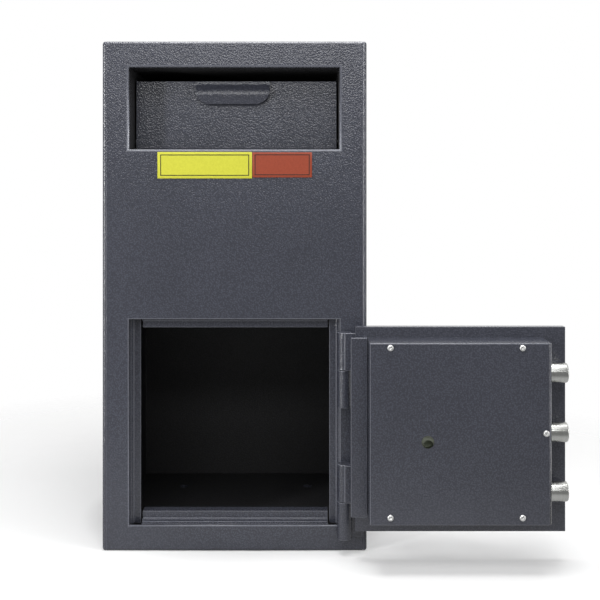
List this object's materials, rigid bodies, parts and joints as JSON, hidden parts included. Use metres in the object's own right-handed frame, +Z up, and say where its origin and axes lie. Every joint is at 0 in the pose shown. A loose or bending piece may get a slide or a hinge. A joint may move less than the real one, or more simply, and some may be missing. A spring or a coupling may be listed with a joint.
{
  "type": "drop safe with deposit drawer",
  "caption": "Upright steel drop safe with a recessed tilting deposit drawer at the top and a hinged, bolted safe door standing open below.",
  "frame": {"origin": "centre of the body's underside, on the floor", "axes": "+Z up, the front with both openings looks along -Y, +X to the right as seen from the front"},
  "size_m": [0.6126, 0.4522, 0.686],
  "materials": {
    "powder_coat": "dark blue-grey fine hammered powder coat, satin, on steel plate",
    "dark_inside": "thin dark grey coat on the inner sheet steel",
    "satin_bolt": "turned steel with satin nickel plating",
    "bare_steel": "plain zinc-washed steel",
    "screw_zinc": "bright zinc plating",
    "lock_zinc": "die-cast zinc lock case, dull",
    "dial_black": "black enamelled dial with white graduations",
    "handle_chrome": "satin chrome on cast zinc",
    "yellow_plate": "yellow vinyl label, blank inside a thin dark rule",
    "orange_plate": "orange-brown vinyl label, blank inside a thin dark rule"
  },
  "bodies": {
    "safe_body": {"left_side_plate": "powder_coat", "right_side_plate": "powder_coat", "top_plate": "powder_coat", "bottom_plate": "powder_coat", "back_plate": "powder_coat", "front_plate": "powder_coat", "jamb_left": "powder_coat", "jamb_right": "powder_coat", "jamb_bottom": "powder_coat", "jamb_top": "powder_coat", "housing_sill": "powder_coat", "upper_hinge_body_half": "powder_coat", "lower_hinge_body_half": "powder_coat", "housing_left_cheek": "dark_inside", "housing_right_cheek": "dark_inside", "housing_ceiling": "dark_inside", "fishing_baffle": "dark_inside", "drawer_rest_bar": "dark_inside", "chute_plate": "dark_inside", "drawer_pivot_rod": "dark_inside", "pivot_clip_left": "dark_inside", "pivot_clip_right": "dark_inside", "upper_hinge_pin": "bare_steel", "lower_hinge_pin": "bare_steel", "label_yellow": "yellow_plate", "label_orange": "orange_plate"},
    "drawer": {"drawer_face": "powder_coat", "drawer_pull": "powder_coat", "drawer_floor": "dark_inside", "drawer_left_side": "dark_inside", "drawer_right_side": "dark_inside"},
    "door": {"door_plate": "powder_coat", "door_cover": "powder_coat", "dead_bar": "powder_coat", "upper_hinge_door_half": "powder_coat", "lower_hinge_door_half": "powder_coat", "bolt_guide": "bare_steel", "hard_plate": "bare_steel", "cover_post_1": "bare_steel", "cover_post_2": "bare_steel", "cover_post_3": "bare_steel", "cover_post_4": "bare_steel", "cover_screw_1": "screw_zinc", "cover_screw_2": "screw_zinc", "cover_screw_3": "screw_zinc", "cover_screw_4": "screw_zinc", "cover_screw_5": "screw_zinc", "lock_case": "lock_zinc", "dial_ring": "dial_black", "handle_rose": "handle_chrome"},
    "boltwork": {"bolt_carriage": "bare_steel", "bolt_bottom": "satin_bolt", "bolt_middle": "satin_bolt", "bolt_top": "satin_bolt"},
    "handle": {"handle_lever": "handle_chrome", "handle_crank": "bare_steel"},
    "dial": {"dial": "dial_black"},
    "lock_bolt": {"lock_bolt": "bare_steel"}
  },
  "joints": [
    {"name": "door_hinge", "type": "hinge", "parent": "safe_body", "child": "door", "pos_m": [0.1473, -0.191, 0.16], "axis": [0, 0, 1], "range_deg": [-180, 0]},
    {"name": "drawer_tilt", "type": "hinge", "parent": "safe_body", "child": "drawer", "pos_m": [0, -0.122, 0.553], "axis": [1, 0, 0], "range_deg": [0, 45]},
    {"name": "handle_turn", "type": "hinge", "parent": "door", "child": "handle", "pos_m": [0.3479, -0.204, 0.1735], "axis": [0, -1, 0], "range_deg": [0, 60]},
    {"name": "bolt_slide", "type": "slide", "parent": "door", "child": "boltwork", "axis": [-1, 0, 0], "range_m": [0, 0.0191]},
    {"name": "dial_turn", "type": "hinge", "parent": "door", "child": "dial", "pos_m": [0.2719, -0.204, 0.1735], "axis": [0, -1, 0], "continuous": true},
    {"name": "lock_bolt_slide", "type": "slide", "parent": "door", "child": "lock_bolt", "axis": [1, 0, 0], "range_m": [0, 0.008]}
  ],
  "couplings": [
    {"joint": "bolt_slide", "follows": "handle_turn", "m_per_rad": 0.018144}
  ]
}
